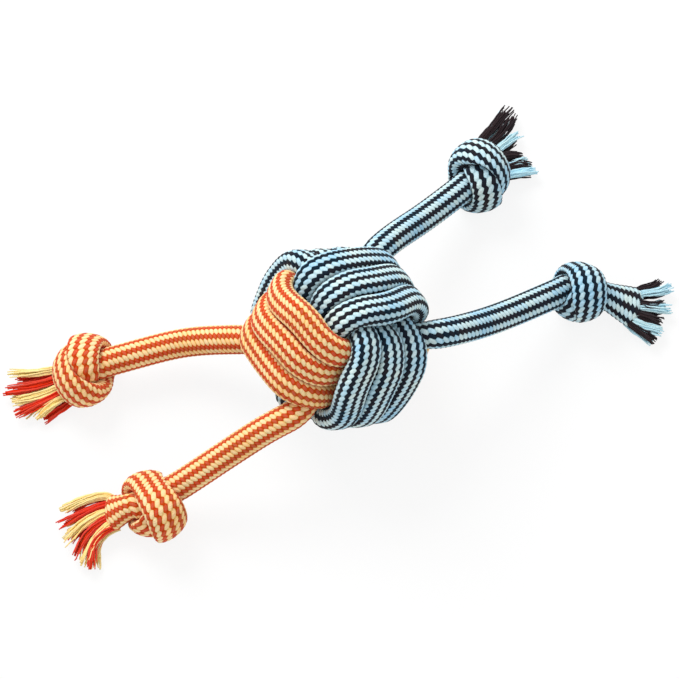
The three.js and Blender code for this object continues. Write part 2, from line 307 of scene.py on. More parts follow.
@dataclass
class Crowd:
    """All the ropes' centrelines, which tell how far each rope can swell before it meets another.

    Attributes:
        lines: The ropes' lines.
        spacing: Spacing of the points that stand for a rope.
        own: Distance along one rope within which it doesn't press on itself.
        firmness: How sharply a rope flattens where it meets another.
        grazing: Least share of a direction that has to point at a strand for it to press there.
        unpressed: Reach in directions where no strand presses, in metres.
    """

    lines: list[RopeLine]
    spacing: float = 1.2 * MM
    own: float = 19 * MM
    firmness: float = 12.0
    grazing: float = 0.05
    unpressed: float = 1.0

    def __post_init__(self) -> None:
        """Sorts points of all the lines in a tree."""
        places, owners, runs, radii = [], [], [], []
        for owner, line in enumerate(self.lines):
            every = max(1, round(self.spacing / (line.run[1] - line.run[0])))
            places.append(line.points[::every])
            runs.append(line.run[::every])
            radii.append(line.radius[::every])
            owners.append(np.full(len(places[-1]), owner))
        self.places, self.runs = np.vstack(places), np.concatenate(runs)
        self.radii, self.owners = np.concatenate(radii), np.concatenate(owners)
        self.names = [line.rope for line in self.lines]
        self.tree = KDTree(len(self.places))
        for i, place in enumerate(self.places):
            self.tree.insert(place, i)
        self.tree.balance()

    def pressed(self, line: RopeLine, offsets: np.ndarray) -> np.ndarray:
        """Flattens a rope's rings where they meet other strands.

        Args:
            line: The rope's line.
            offsets: From each ring's centre to its points, as rings by sides by 3.

        Returns:
            The flattened offsets.
        """
        owner = self.names.index(line.rope)
        lengths = np.linalg.norm(offsets, axis=2)
        ways = offsets / lengths[:, :, None]
        result = lengths.copy()
        for i, centre in enumerate(line.points):
            near = np.array([hit[1] for hit in self.tree.find_range(centre, 2 * lengths[i].max())])
            apart = (self.owners[near] != owner) | (np.abs(self.runs[near] - line.run[i]) > self.own)
            near = near[apart]
            if not len(near):
                continue
            towards = self.places[near] - centre
            distance = np.linalg.norm(towards, axis=1)
            share = line.radius[i] / (line.radius[i] + self.radii[near])
            facing = ways[i] @ (towards / distance[:, None]).T
            room = distance * share / np.maximum(facing, self.grazing)
            reach = np.where(facing > self.grazing, room, self.unpressed).min(axis=1)
            result[i] = (lengths[i] ** -self.firmness + reach ** -self.firmness) ** (-1 / self.firmness)
        return ways * result[:, :, None]


@dataclass(frozen=True)
class Section:
    """A rope's cross-section, from round to squeezed flat at its sides.

    Attributes:
        exponent: 2 for a round section, and more for one with flatter sides.
        sides: Points round the section.
        wide: Half width, in half thicknesses of the rope.
        tall: Half height, in the same.
        samples: Points that its girth is measured at.
    """

    exponent: float = 2.0
    sides: int = 96
    wide: float = 1.0
    tall: float = 1.0
    samples: int = 4001

    def outline(self) -> tuple[np.ndarray, np.ndarray, float]:
        """Spaces points evenly round the section.

        Returns:
            The points, the directions out of them, and the girth.
        """
        angles = np.linspace(0, 2 * math.pi, self.samples)
        wave = np.column_stack([np.cos(angles), np.sin(angles)])
        dense = np.sign(wave) * np.abs(wave) ** (2 / self.exponent) * (self.wide, self.tall)
        runs = np.concatenate([[0], np.cumsum(np.linalg.norm(np.diff(dense, axis=0), axis=1))])
        places = np.linspace(0, runs[-1], self.sides, endpoint=False)
        points = np.column_stack([np.interp(places, runs, dense[:, axis]) for axis in range(2)])
        ahead = np.roll(points, -1, axis=0) - np.roll(points, 1, axis=0)
        return points, unit(np.column_stack([ahead[:, 1], -ahead[:, 0]])), float(runs[-1])


@dataclass(frozen=True)
class Braid:
    """The rope's braid: lengthwise columns of slanted stitches, in two yarns by turns.

    Attributes:
        columns: Columns round the rope.
        pitch: Length of a stitch along the rope.
        slant: Angle between a stitch and the way round the rope.
        reach: Half length of a stitch across its column, in column widths.
        belly: Half width of a stitch, in pitches.
        floor: Level of the creases between stitches, from 0, deep, to 1.
        relief: Height of a stitch.
        light_lead: How far the light yarn's stitches stand over the dark ones.
        sink: Share of a stitch's height that lies under the rope's smooth surface.
        none_yet: A rise lower than any stitch's.
        scramble: Numbers that scramble a stitch's column and row into its shade.
    """

    columns: int = 16
    pitch: float = 2.6 * MM
    slant: float = math.radians(24)
    reach: float = 0.88
    belly: float = 0.62
    floor: float = 0.24
    relief: float = 0.75 * MM
    light_lead: float = 0.03
    sink: float = 0.7
    none_yet: float = -9.0
    scramble: tuple[float, float, float] = (12.9898, 78.233, 43758.5453)

    def stitched(self, turn: np.ndarray, run: np.ndarray, girth: np.ndarray) -> dict[str, np.ndarray]:
        """Works out the stitches at points of the rope's surface.

        Args:
            turn: Share of the way round, as rings by points of a ring.
            run: Distance along the rope, one for each ring.
            girth: Way round the rope, one for each ring.

        Returns:
            Grids of height, tone (above 0 for the light yarn), crease (0 in a crease, 1 on a stitch) and
            dye (a shade for each stitch, 0 to 1).
        """
        across = np.mod(turn, 1) * self.columns
        along = np.broadcast_to(run[:, None] / self.pitch, across.shape)
        width = girth[:, None] / self.columns
        by_column, by_stitch, spread = self.scramble
        best = [np.full(across.shape, self.none_yet) for _ in range(2)]
        shade = [np.zeros(across.shape) for _ in range(2)]
        for neighbour in (-1, 0, 1):
            column = np.floor(across) + neighbour
            odd = np.mod(column, 2)
            beside = (across - column - 0.5) * width
            lean = beside * math.tan(self.slant)
            for step in (-1, 0, 1):
                stitch = np.round(along - lean / self.pitch) + step
                ahead = (along - stitch) * self.pitch - lean
                rise = 1 - (beside / (self.reach * width)) ** 2 - (ahead / (self.belly * self.pitch)) ** 2
                seed = np.mod(column, self.columns) * by_column + stitch * by_stitch
                lot = np.mod(np.sin(seed) * spread, 1.0)
                for yarn in (0, 1):
                    wins = (odd == yarn) & (rise > best[yarn])
                    best[yarn] = np.where(wins, rise, best[yarn])
                    shade[yarn] = np.where(wins, lot, shade[yarn])
        top = np.maximum(best[0], best[1])
        crease = np.sqrt(np.clip((top - self.floor) / (1 - self.floor), 0, 1))
        return {
            "height": self.relief * (crease - self.sink),
            "tone": best[0] - best[1] + self.light_lead,
            "crease": crease,
            "dye": np.where(best[0] > best[1], shade[0], shade[1]),
        }


class Yarns(Enum):
    """The toy's two ropes."""

    ORANGE = "orange"
    BLUE = "blue"


@dataclass(frozen=True)
class Cotton:
    """How cotton yarn takes dye and light. A span is low and high of a reading, then of its result.

    Attributes:
        roughness: Roughness of the yarn.
        gloss: Strength of its gloss.
        fuzz: Strength of its sheen.
        fuzz_roughness: Roughness of its sheen.
        fibre_grain: Fibres for each millimetre round the rope and along it.
        fibre_detail: Octaves of the fibres' noise.
        patch_grain: Patches of dye for each millimetre round the rope and along it.
        patch_detail: Octaves of the patches' noise.
        stitch_shade: Span of what a stitch's dye adds to its shade.
        patch_shade: Span of what a patch adds to it.
        whole_shade: Span of the sum.
        yarn_edge: Span over which one yarn gives way to the other.
        stitch_value: Span of a stitch's brightness.
        crease_painted_shade: Span of the brightness from a crease to the top of a stitch, which is painted
            shade in the creases.
        fibre_value: Span of the fibres' brightness.
        crease_shade_saturation: Span of the colour's strength from a crease to the top of a stitch, which
            is painted shade that deepens the colour in the creases.
        bump: Strength of the fibres' relief.
        bump_height: Height of that relief.
    """

    roughness: float = 0.88
    gloss: float = 0.1
    fuzz: float = 0.1
    fuzz_roughness: float = 0.5
    fibre_grain: tuple[float, float, float] = (0.5, 3.2, 1)
    fibre_detail: float = 3.0
    patch_grain: tuple[float, float, float] = (0.05, 0.05, 1)
    patch_detail: float = 1.0
    stitch_shade: Span = (0, 1, -0.3, 0.3)
    patch_shade: Span = (0.3, 0.7, 0.2, 0.8)
    whole_shade: Span = (0, 1, 0, 1)
    yarn_edge: Span = (-0.05, 0.05, 0, 1)
    stitch_value: Span = (0, 1, 0.93, 1.05)
    crease_painted_shade: Span = (0.05, 0.8, 0.38, 1)
    fibre_value: Span = (0.3, 0.7, 0.86, 1.08)
    crease_shade_saturation: Span = (0.2, 0.9, 1.45, 1)
    bump: float = 0.5
    bump_height: float = 0.2 * MM


@dataclass(frozen=True)
class RopeFinish:
    """The look of a rope of two yarns, each of which varies between two shades.

    Attributes:
        name: The material's name.
        slot: The record's material slot, which is not used.
        light: Shades of the light yarn.
        dark: Shades of the dark yarn.
        cotton: How the yarns take dye and light.
    """

    name: str
    slot: str
    light: tuple[Colour, Colour]
    dark: tuple[Colour, Colour]
    cotton: Cotton = Cotton()

    def material(self) -> bpy.types.Material:
        """Makes the cotton braid material, once.

        Returns:
            The material, which reads the tone, crease and dye of a rope's surface, and paints shade into
            the creases.
        """
        if self.name in bpy.data.materials:
            return bpy.data.materials[self.name]
        material = bpy.data.materials.new(self.name)
        material.use_nodes = True
        tree = material.node_tree
        shader = tree.nodes["Principled BSDF"]
        cotton = self.cotton
        shader.inputs["Roughness"].default_value = cotton.roughness
        shader.inputs["Specular IOR Level"].default_value = cotton.gloss
        shader.inputs["Sheen Weight"].default_value = cotton.fuzz
        shader.inputs["Sheen Roughness"].default_value = cotton.fuzz_roughness

        def ranged(source: Socket, span: Span) -> Socket:
            """Maps a value from low and high to another low and high.

            Args:
                source: The value's socket.
                span: Low and high of the value, then of the result.

            Returns:
                The result's socket.
            """
            node = tree.nodes.new("ShaderNodeMapRange")
            for socket, value in zip(("From Min", "From Max", "To Min", "To Max"), span):
                node.inputs[socket].default_value = value
            tree.links.new(source, node.inputs["Value"])
            return node.outputs["Result"]

        def reading(name: str) -> Socket:
            """Reads a value of the mesh by its name."""
            node = tree.nodes.new("ShaderNodeAttribute")
            node.attribute_name = name
            return node.outputs["Fac"]

        def combined(operation: str, first: Socket, second: Socket) -> Socket:
            """Puts two values together.

            Args:
                operation: How to, as the math node names it.
                first: One value's socket.
                second: The other's.

            Returns:
                The result's socket.
            """
            node = tree.nodes.new("ShaderNodeMath")
            node.operation = operation
            tree.links.new(first, node.inputs[0])
            tree.links.new(second, node.inputs[1])
            return node.outputs["Value"]

        def noise(scale: tuple[float, float, float], detail: float) -> Socket:
            """Makes noise on the rope's surface.

            Args:
                scale: Grains for each millimetre round the rope and along it.
                detail: Octaves.

            Returns:
                The noise's socket.
            """
            spread = tree.nodes.new("ShaderNodeMapping")
            spread.inputs["Rotation"].default_value = (0, 0, -Braid().slant)
            spread.inputs["Scale"].default_value = scale
            tree.links.new(place.outputs["UV"], spread.inputs["Vector"])
            grain = tree.nodes.new("ShaderNodeTexNoise")
            grain.noise_dimensions = "2D"
            grain.inputs["Scale"].default_value = 1.0
            grain.inputs["Detail"].default_value = detail
            tree.links.new(spread.outputs["Vector"], grain.inputs["Vector"])
            return grain.outputs["Fac"]

        def mixed(factor: Socket) -> bpy.types.Node:
            """Makes a colour mix that follows a factor."""
            node = tree.nodes.new("ShaderNodeMix")
            node.data_type = "RGBA"
            tree.links.new(factor, node.inputs["Factor"])
            return node

        place = tree.nodes.new("ShaderNodeUVMap")
        place.uv_map = "rope"
        fibres = noise(cotton.fibre_grain, cotton.fibre_detail)
        patches = noise(cotton.patch_grain, cotton.patch_detail)
        stitches = ranged(reading("dye"), cotton.stitch_shade)
        lot = combined("ADD", stitches, ranged(patches, cotton.patch_shade))
        yarns = mixed(ranged(reading("tone"), cotton.yarn_edge))
        for socket, shades in (("A", self.dark), ("B", self.light)):
            shade = mixed(ranged(lot, cotton.whole_shade))
            shade.inputs["A"].default_value = shades[0]
            shade.inputs["B"].default_value = shades[1]
            tree.links.new(shade.outputs["Result"], yarns.inputs[socket])
        value = ranged(reading("dye"), cotton.stitch_value)
        # Painted shade: the creases between stitches are darkened in the colour, on top of the stitch's own
        # dye and the fibres' tone.
        value = combined("MULTIPLY", value, ranged(reading("crease"), cotton.crease_painted_shade))
        value = combined("MULTIPLY", value, ranged(fibres, cotton.fibre_value))
        shaded = tree.nodes.new("ShaderNodeHueSaturation")
        tree.links.new(value, shaded.inputs["Value"])
        # Painted shade: the colour is also made stronger in the creases, as it looks in shade.
        tree.links.new(ranged(reading("crease"), cotton.crease_shade_saturation), shaded.inputs["Saturation"])
        tree.links.new(yarns.outputs["Result"], shaded.inputs["Color"])
        tree.links.new(shaded.outputs["Color"], shader.inputs["Base Color"])
        bump = tree.nodes.new("ShaderNodeBump")
        bump.inputs["Strength"].default_value = cotton.bump
        bump.inputs["Distance"].default_value = cotton.bump_height
        tree.links.new(fibres, bump.inputs["Height"])
        tree.links.new(bump.outputs["Normal"], shader.inputs["Normal"])
        return material


FINISHES = {
    Yarns.ORANGE: RopeFinish(
        "orange_braid", "orange_rope",
        (linear(255, 229, 181), linear(255, 209, 148)), (linear(219, 87, 57), linear(194, 94, 63))),
    Yarns.BLUE: RopeFinish(
        "blue_braid", "blue_rope",
        (linear(222, 242, 240), linear(168, 210, 234)), (linear(36, 30, 35), linear(0, 29, 46))),
}
FRAYED_FINISHES = {
    Yarns.ORANGE: RopeFinish(
        "orange_frayed_yarn", "orange_rope",
        (linear(255, 240, 172), linear(255, 220, 142)), (linear(236, 64, 52), linear(218, 76, 54))),
    Yarns.BLUE: RopeFinish(
        "blue_frayed_yarn", "blue_rope",
        (linear(216, 246, 250), linear(176, 226, 246)), (linear(52, 36, 38), linear(30, 26, 32))),
}
CORE_FINISH = RopeFinish(
    "core_cotton", "core_stuffing",
    (linear(216, 204, 182), linear(206, 194, 170)), (linear(196, 182, 158), linear(186, 172, 150)))


@dataclass
class SurfaceMesh:
    """A mesh that is put together from tubes, with rope coordinates on its faces."""

    name: str

    def __post_init__(self) -> None:
        """Starts with nothing."""
        self.vertices: list[np.ndarray] = []
        self.quads: list[np.ndarray] = []
        self.quad_coords: list[np.ndarray] = []
        self.caps: list[np.ndarray] = []
        self.values: dict[str, list[np.ndarray]] = {"tone": [], "crease": [], "dye": []}
        self.count = 0

    def add_tube(
        self, grid: np.ndarray, u: np.ndarray, v: np.ndarray, values: dict[str, np.ndarray]
    ) -> None:
        """Adds a closed tube.

        Args:
            grid: Points as rings by sides by 3.
            u: Coordinate round the tube, one more than the sides.
            v: Coordinate along it, one for each ring.
            values: Grids of tone, crease and dye.
        """
        rings, sides, _ = grid.shape
        index = self.count + np.arange(rings * sides).reshape(rings, sides)
        beside = np.roll(index, -1, axis=1)
        quads = np.stack([index[:-1], beside[:-1], beside[1:], index[1:]], axis=-1)
        self.quads.append(quads.reshape(-1, 4))
        near = np.stack(np.meshgrid(u[:-1], v), axis=-1)
        far = np.stack(np.meshgrid(u[1:], v), axis=-1)
        coords = np.stack([near[:-1], far[:-1], far[1:], near[1:]], axis=2)
        self.quad_coords.append(coords.reshape(-1, 4, 2))
        start = np.full(sides, self.count + rings * sides)
        self.caps.append(np.stack([index[0], start, beside[0]], axis=-1))
        self.caps.append(np.stack([index[-1], beside[-1], start + 1], axis=-1))
        self.vertices += [grid.reshape(-1, 3), grid[0].mean(0)[None], grid[-1].mean(0)[None]]
        for key, rows in self.values.items():
            flat = values[key].reshape(-1)
            rows += [flat, flat[:1], flat[-1:]]
        self.count += rings * sides + 2

    def made(self, finish: RopeFinish) -> bpy.types.Object:
        """Makes the object.

        Args:
            finish: The rope's look.

        Returns:
            The object, linked to the scene.
        """
        vertices = np.vstack(self.vertices)
        vertices[:, 2] = np.maximum(vertices[:, 2], FLOOR_SKIM)
        quads, caps = np.vstack(self.quads), np.vstack(self.caps)
        loops = np.concatenate([quads.ravel(), caps.ravel()])
        starts = np.concatenate([4 * np.arange(len(quads)), quads.size + 3 * np.arange(len(caps))])
        coords = np.concatenate([np.vstack(self.quad_coords).ravel(), np.zeros(2 * caps.size)])
        mesh = bpy.data.meshes.new(self.name)
        mesh.vertices.add(len(vertices))
        mesh.vertices.foreach_set("co", vertices.astype(np.float32).ravel())
        mesh.loops.add(len(loops))
        mesh.loops.foreach_set("vertex_index", loops.astype(np.int32))
        mesh.polygons.add(len(starts))
        mesh.polygons.foreach_set("loop_start", starts.astype(np.int32))
        mesh.update(calc_edges=True)
        mesh.polygons.foreach_set("use_smooth", np.ones(len(starts), bool))
        layer = mesh.uv_layers.new(name="rope")
        layer.data.foreach_set("uv", coords.astype(np.float32))
        for key, rows in self.values.items():
            attribute = mesh.attributes.new(key, "FLOAT", "POINT")
            attribute.data.foreach_set("value", np.concatenate(rows).astype(np.float32))
        mesh.validate()
        mesh.materials.append(finish.material())
        made = bpy.data.objects.new(self.name, mesh)
        bpy.context.scene.collection.objects.link(made)
        LOG.info("%s: %d vertices", self.name, len(vertices))
        return made


@dataclass(frozen=True)
class BraidedRope:
    """A stretch of braided rope.

    Attributes:
        name: The piece's name.
        line: The rope's centreline.
        section: Its cross-section.
        finish: Its look.
        crowd: The ropes that may press on it, if any.
        braid: Its stitches.
    """

    name: str
    line: RopeLine
    section: Section
    finish: RopeFinish
    crowd: Crowd | None = None
    braid: Braid = Braid()

    def build(self) -> bpy.types.Object:
        """Makes the rope's surface, with each stitch raised.

        Returns:
            The rope's object.
        """
        points, outs, girth = self.section.outline()
        turns = self.line.turns(self.section.sides)
        surface = self.braid.stitched(turns, self.line.run, girth * self.line.radius)
        side, out = self.line.side[:, None, :], self.line.out[:, None, :]
        offsets = self.line.radius[:, None, None] * (points[None, :, :1] * side + points[None, :, 1:] * out)
        offsets = self.line.widened(offsets)
        if self.crowd:
            offsets = self.crowd.pressed(self.line, offsets)
        offsets += surface["height"][:, :, None] * (outs[None, :, :1] * side + outs[None, :, 1:] * out)
        grid = self.line.points[:, None, :] + offsets * self.line.swell[:, None, None]
        mesh = SurfaceMesh(self.name)
        round_mm = np.linspace(0, 1, self.section.sides + 1) * girth * self.line.radius.max() / MM
        mesh.add_tube(grid, round_mm, self.line.run / MM, surface)
        return mesh.made(self.finish)


@dataclass(frozen=True)
class Dent:
    """A soft dent or swelling in the far side of the fist.

    Attributes:
        angle: Where it is round the front corner, in degrees from the right, anticlockwise.
        spread: How far it spreads round, in degrees.
        depth: How deep it is at the fist's edge, as a share of the distance from the corner's axis.
    """

    angle: float
    spread: float
    depth: float


@dataclass(frozen=True)
class Fist:
    """The monkey's fist: three windings of three turns round a stuffed core. Sizes are in millimetres.

    Attributes:
        rope: Thickness of the squeezed rope.
        turn_gap: Gap between neighbouring turns.
        layer_gap: Gap between a winding and the one that it crosses.
        turns: Turns of a winding.
        middle_bow: How far the middle turn's outer stretch swells.
        side_bow: How far the stretches beside it swell.
        hidden_share: Share of a turn, either side of its hidden middle, where it changes rows.
        hidden_row: Spacing of the rows there, as a share of the pitch.
        hidden_rope: Thickness of the rope there.
        end_setback: Distance of each hidden end from that middle.
        section: The soft rope's section before its neighbours press on it.
        gather: How much closer together the columns lie on the outside.
        dents: Dents and swellings of the far side.
        dent_from: Depth behind the fist's middle where the dents begin.
        dent_full: Depth behind it where they reach their full depth.
        lean: How far the strands beside the front corner lean towards it.
        lean_at: Distance along a strand, from its middle, where it leans most.
        lean_spread: Distance over which the lean fades.
        closing: How far the strands round a corner that no leg leaves by are drawn together.
        closing_from: Distance out along the corner where the drawing together begins.
        closing_full: Distance out where it is complete.
        closing_ring: Distance from the corner's axis of the strands that are drawn most.
        closing_spread: Distance over which it fades.
        axis_room: Least distance from the corner's axis that a shift is shared over.
        free_corners: Signs, along the top, left and right axes, of those corners.
        corner_elevation: Elevation of the front corner.
        corner_tilt: Its sideways tilt.
        corner_spin: The fist's spin about it.
        outline_step: Spacing of the points of a stiff turn.
        line_step: Spacing of a winding's rings.
        first_rounding: Distance over which a stiff winding is rounded off.
        last_rounding: Distance over which the soft one is.
        body: The body that it rides on.
    """

    rope: float = 12.2
    turn_gap: float = 0.75
    layer_gap: float = 0.6
    turns: int = 3
    middle_bow: float = 3.6
    side_bow: float = 1.6
    hidden_share: float = 0.13
    hidden_row: float = 0.74
    hidden_rope: float = 8.6
    end_setback: float = 1.0
    section: Section = Section(exponent=3.0, sides=80, wide=1.3, tall=1.02)
    gather: float = 0.22
    dents: tuple[Dent, ...] = (Dent(228, 22, 0.19), Dent(350, 18, 0.24), Dent(135, 13, -0.07))
    dent_from: float = -7.0
    dent_full: float = 3.0
    lean: float = 7.0
    lean_at: float = 5.0
    lean_spread: float = 15.0
    closing: float = 3.5
    closing_from: float = 15.0
    closing_full: float = 30.0
    closing_ring: float = 16.0
    closing_spread: float = 8.0
    axis_room: float = 1.0
    free_corners: tuple[tuple[int, int, int], ...] = ((1, 1, 1), (1, 1, -1), (-1, -1, 1), (-1, -1, -1))
    corner_elevation: float = 67.0
    corner_tilt: float = 7.0
    corner_spin: float = 63.0
    outline_step: float = 0.5
    line_step: float = 0.6
    first_rounding: float = 2.0
    last_rounding: float = 1.0
    body: str = "fist"

    @property
    def pitch(self) -> float:
        """Spacing of a winding's turns."""
        return self.rope + self.turn_gap

    @property
    def layer(self) -> float:
        """Spacing of a winding and the one that it crosses."""
        return self.rope + self.layer_gap

    @property
    def under_reach(self) -> float:
        """Distance of a turn from the fist's middle where it runs under its neighbour."""
        return self.pitch + self.layer

    @property
    def over_reach(self) -> float:
        """Distance of a turn from the fist's middle where it runs over the next."""
        return self.under_reach + self.layer

    def centre(self) -> np.ndarray:
        """Gives the middle of the fist, in metres."""
        low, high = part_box("core_ball")
        return np.array((Vector(low) + Vector(high)) / 2)

    def axes(self) -> list[np.ndarray]:
        """Gives the directions out of the top, left and right faces round the front corner.

        Returns:
            Three directions, square to each other.
        """
        elevation, tilt = math.radians(self.corner_elevation), math.radians(self.corner_tilt)
        across = np.array([1.0, 0, 0])
        sight = np.array([0, -math.cos(elevation), math.sin(elevation)])
        up = np.array([0, math.sin(elevation), math.cos(elevation)])
        corner = sight * math.cos(tilt) + across * math.sin(tilt)
        side = across * math.cos(tilt) - sight * math.sin(tilt)
        spins = [math.radians(self.corner_spin + step) for step in (0, 120, 240)]
        flat = [side * math.cos(spin) + up * math.sin(spin) for spin in spins]
        return [corner * math.sqrt(1 / 3) + way * math.sqrt(2 / 3) for way in flat]

    def outline(self, arc_steps: int = 24) -> np.ndarray:
        """Draws one turn from the middle of its hidden stretch, as a rounded rectangle.

        Args:
            arc_steps: Steps in each corner.

        Returns:
            Rows of over and under distances.
        """
        corners = [(1, -1), (1, 1), (-1, 1), (-1, -1)]
        points = [(0.0, -self.under_reach)]
        for quarter, (over, under) in enumerate(corners):
            for angle in np.radians(90 * (quarter - 1 + np.linspace(0, 1, arc_steps + 1))):
                points.append((
                    over * (self.over_reach - self.layer) + self.layer * math.cos(angle),
                    under * (self.under_reach - self.layer) + self.layer * math.sin(angle),
                ))
        points.append(points[0])
        return np.array(points)

    def winding_rows(self, over: np.ndarray, under: np.ndarray, along: np.ndarray) -> np.ndarray:
        """Draws the centreline of a winding.

        Args:
            over: Axis of the faces that it runs over.
            under: Axis of the faces that it runs under.
            along: Axis that its turns step along.

        Returns:
            Rows of x, y, z and half thickness, in metres.
        """
        flat = self.outline()
        outline = resampled(np.column_stack([flat, np.zeros(len(flat))]), self.outline_step)[:-1]
        shares = np.arange(len(outline)) / len(outline)
        turns = np.concatenate([turn + shares for turn in range(self.turns)])
        x, y = np.tile(outline[:, 0], self.turns), np.tile(outline[:, 1], self.turns)
        shown = np.minimum(np.abs(turns - np.round(turns)) / self.hidden_share, 1)
        shown_row = np.clip(np.floor(turns), 0, self.turns - 1) - (self.turns - 1) / 2
        hidden_row = (np.round(turns) - self.turns / 2) * self.hidden_row
        row = hidden_row + (shown_row - hidden_row) * shown
        bow = self.middle_bow + (self.side_bow - self.middle_bow) * np.minimum(np.abs(row), 1)
        swell = (x > 0) * bow * np.maximum(0, 1 - (y / (self.turns / 2 * self.pitch)) ** 2)
        lean = self.lean * (x > 0) * (row + 1) / 2 * np.exp(-((y - self.lean_at) / self.lean_spread) ** 2)
        step = row * self.pitch + lean
        places = (x + swell)[:, None] * over + y[:, None] * under + step[:, None] * along
        thickness = self.hidden_rope + (self.rope - self.hidden_rope) * shown
        rows = np.column_stack([places, thickness / 2])
        skip = round(self.end_setback / self.outline_step)
        rows = softened(resampled(rows[skip:-skip], self.line_step), self.first_rounding)
        rows[:, :3] = self.softened_places(rows[:, :3])
        rows = softened(resampled(rows, self.line_step), self.last_rounding) * MM
        rows[:, :3] += self.centre()
        return rows

    def softened_places(self, places: np.ndarray) -> np.ndarray:
        """Moves places in the stiff fist to where they lie in the soft one.

        Args:
            places: Places from the fist's middle, in millimetres.

        Returns:
            The moved places.
        """
        axes = self.axes()
        corner = sum(axes) / math.sqrt(3)
        right = unit(np.cross([0.0, 1, 0], corner))
        up = np.cross(corner, right)
        depth = places @ corner
        away = places - depth[:, None] * corner
        angle = np.degrees(np.arctan2(away @ up, away @ right))
        scale = np.ones(len(places))
        far = smoothstep(-depth, self.dent_from, self.dent_full)
        for dent in self.dents:
            off = np.mod(angle - dent.angle + 180, 360) - 180
            scale -= dent.depth * far * np.exp(-0.5 * (off / dent.spread) ** 2)
        places = depth[:, None] * corner + away * scale[:, None]
        for signs in self.free_corners:
            axis = sum(sign * way for sign, way in zip(signs, axes)) / math.sqrt(3)
            depth = places @ axis
            away = places - depth[:, None] * axis
            reach = np.linalg.norm(away, axis=1)
            ring = np.exp(-((reach - self.closing_ring) / self.closing_spread) ** 2)
            drawn = self.closing * smoothstep(depth, self.closing_from, self.closing_full) * ring
            places = places - away * (drawn / np.maximum(reach, self.axis_room))[:, None]
        return places

    def lines(self) -> dict[str, tuple[Yarns, RopeLine]]:
        """Gives the windings' yarns and lines by their nodes' names."""
        top, left, right = self.axes()
        windings = (
            ("orange_winding", Yarns.ORANGE, left, right, top),
            ("blue_top_winding", Yarns.BLUE, top, left, right),
            ("blue_side_winding", Yarns.BLUE, right, top, left),
        )
        lines = {}
        for node, yarns, over, under, along in windings:
            line = RopeLine.along(node, self.winding_rows(over, under, along), along, carried=False)
            ones = np.ones(len(line.points))
            lines[node] = yarns, line.shaped(line.points - self.centre(), ones, self.gather * ones)
        return lines

    def build(self, crowd: Crowd) -> None:
        """Makes the three windings.

        Args:
            crowd: All the ropes, which press on each other.
        """
        for node, (yarns, line) in self.lines().items():
            rope = BraidedRope(f"{node}_rope", line, self.section, FINISHES[yarns], crowd).build()
            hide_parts(node)
            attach(rope, self.body)


@dataclass(frozen=True)
class Core:
    """The ball of packed cotton waste in the fist: one strand, wound from pole to pole.

    Sizes are in millimetres.

    Attributes:
        depth: Depth of the strand's middle under the solid's surface.
        winds: Turns of the strand.
        samples: Points along it.
        pole: Share of the way from pole to pole that is left open at each pole.
        strand: Half thickness of the strand.
        step: Spacing of its rings.
        section: Its cross-section.
        braid: Its stitches.
        body: The body that it rides on.
    """

    depth: float = 2.7
    winds: int = 14
    samples: int = 1400
    pole: float = 0.04
    strand: float = 1.6
    step: float = 1.0
    section: Section = Section(sides=12)
    braid: Braid = Braid(columns=4)
    body: str = "fist"

    def line(self) -> RopeLine:
        """Draws the strand.

        Returns:
            The strand's line.
        """
        low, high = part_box("core_ball")
        radius = (high[2] - low[2]) / 2 - self.depth * MM
        share = np.linspace(0, 1, self.samples)
        angle = 2 * math.pi * self.winds * share
        height = np.cos(math.pi * (self.pole + (1 - 2 * self.pole) * share))
        wide = np.sqrt(1 - height ** 2)
        ball = np.column_stack([wide * np.cos(angle), wide * np.sin(angle), height]) * radius
        rows = np.column_stack([ball + Fist().centre(), np.full(len(share), self.strand * MM)])
        return RopeLine.along("core", resampled(rows, self.step * MM), UP, carried=True)

    def build(self) -> None:
        """Makes the core."""
        core = BraidedRope("core_packing", self.line(), self.section, CORE_FINISH, braid=self.braid).build()
        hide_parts("core_ball")
        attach(core, self.body)


@dataclass(frozen=True)
class Knot:
    """A tight overhand knot. Points are in strand spacings, with the rope running along X.

    Attributes:
        half: Points from the middle out to one rope face.
        middle: The knot's middle.
        spacing: Distance between strands, in millimetres.
        pull: How far the knot is drawn together along X, Y and Z.
        strand: Half thickness of the rope before the strands press on each other, in millimetres.
        widen: How much wider than round the strands are.
        gather: How much closer together the columns lie on the outside.
        lowest: Height of the lowest strand's middle, in millimetres.
    """

    half: tuple[tuple[float, float, float], ...] = (
        (-0.5, 0.62, 0.66),
        (-0.92, 0.97, 0.27),
        (-1.15, 1.0, -0.32),
        (-1.14, 0.7, -0.9),
        (-0.9, 0.17, -1.2),
        (-0.46, -0.31, -1.13),
        (0.0, -0.53, -0.75),
        (0.42, -0.3, -0.3),
        (0.96, 0.0, -0.15),
        (1.5, 0.0, -0.13),
    )
    middle: tuple[float, float, float] = (0.0, 0.0, 0.72)
    spacing: float = 11.3
    pull: tuple[float, float, float] = (0.5, 1.08, 0.9)
    strand: float = 7.4
    widen: float = 1.45
    gather: float = 0.52
    lowest: float = 5.6

    def controls(self) -> np.ndarray:
        """Gives the knot's points from one rope face to the other, in metres."""
        half = np.array(self.half)
        other = (half * (-1, -1, 1))[::-1]
        return np.vstack([other, [self.middle], half]) * self.pull * self.spacing * MM


@dataclass(frozen=True)
class Lock:
    """A lock of yarn in a tassel.

    Attributes:
        across: Where it leaves the rope's end, from the middle to the left, in millimetres.
        angle: Plan angle that it lies at, in degrees.
        reach: Its length, in millimetres.
        light: Whether it is of the light yarn.
    """

    across: float
    angle: float
    reach: float
    light: bool


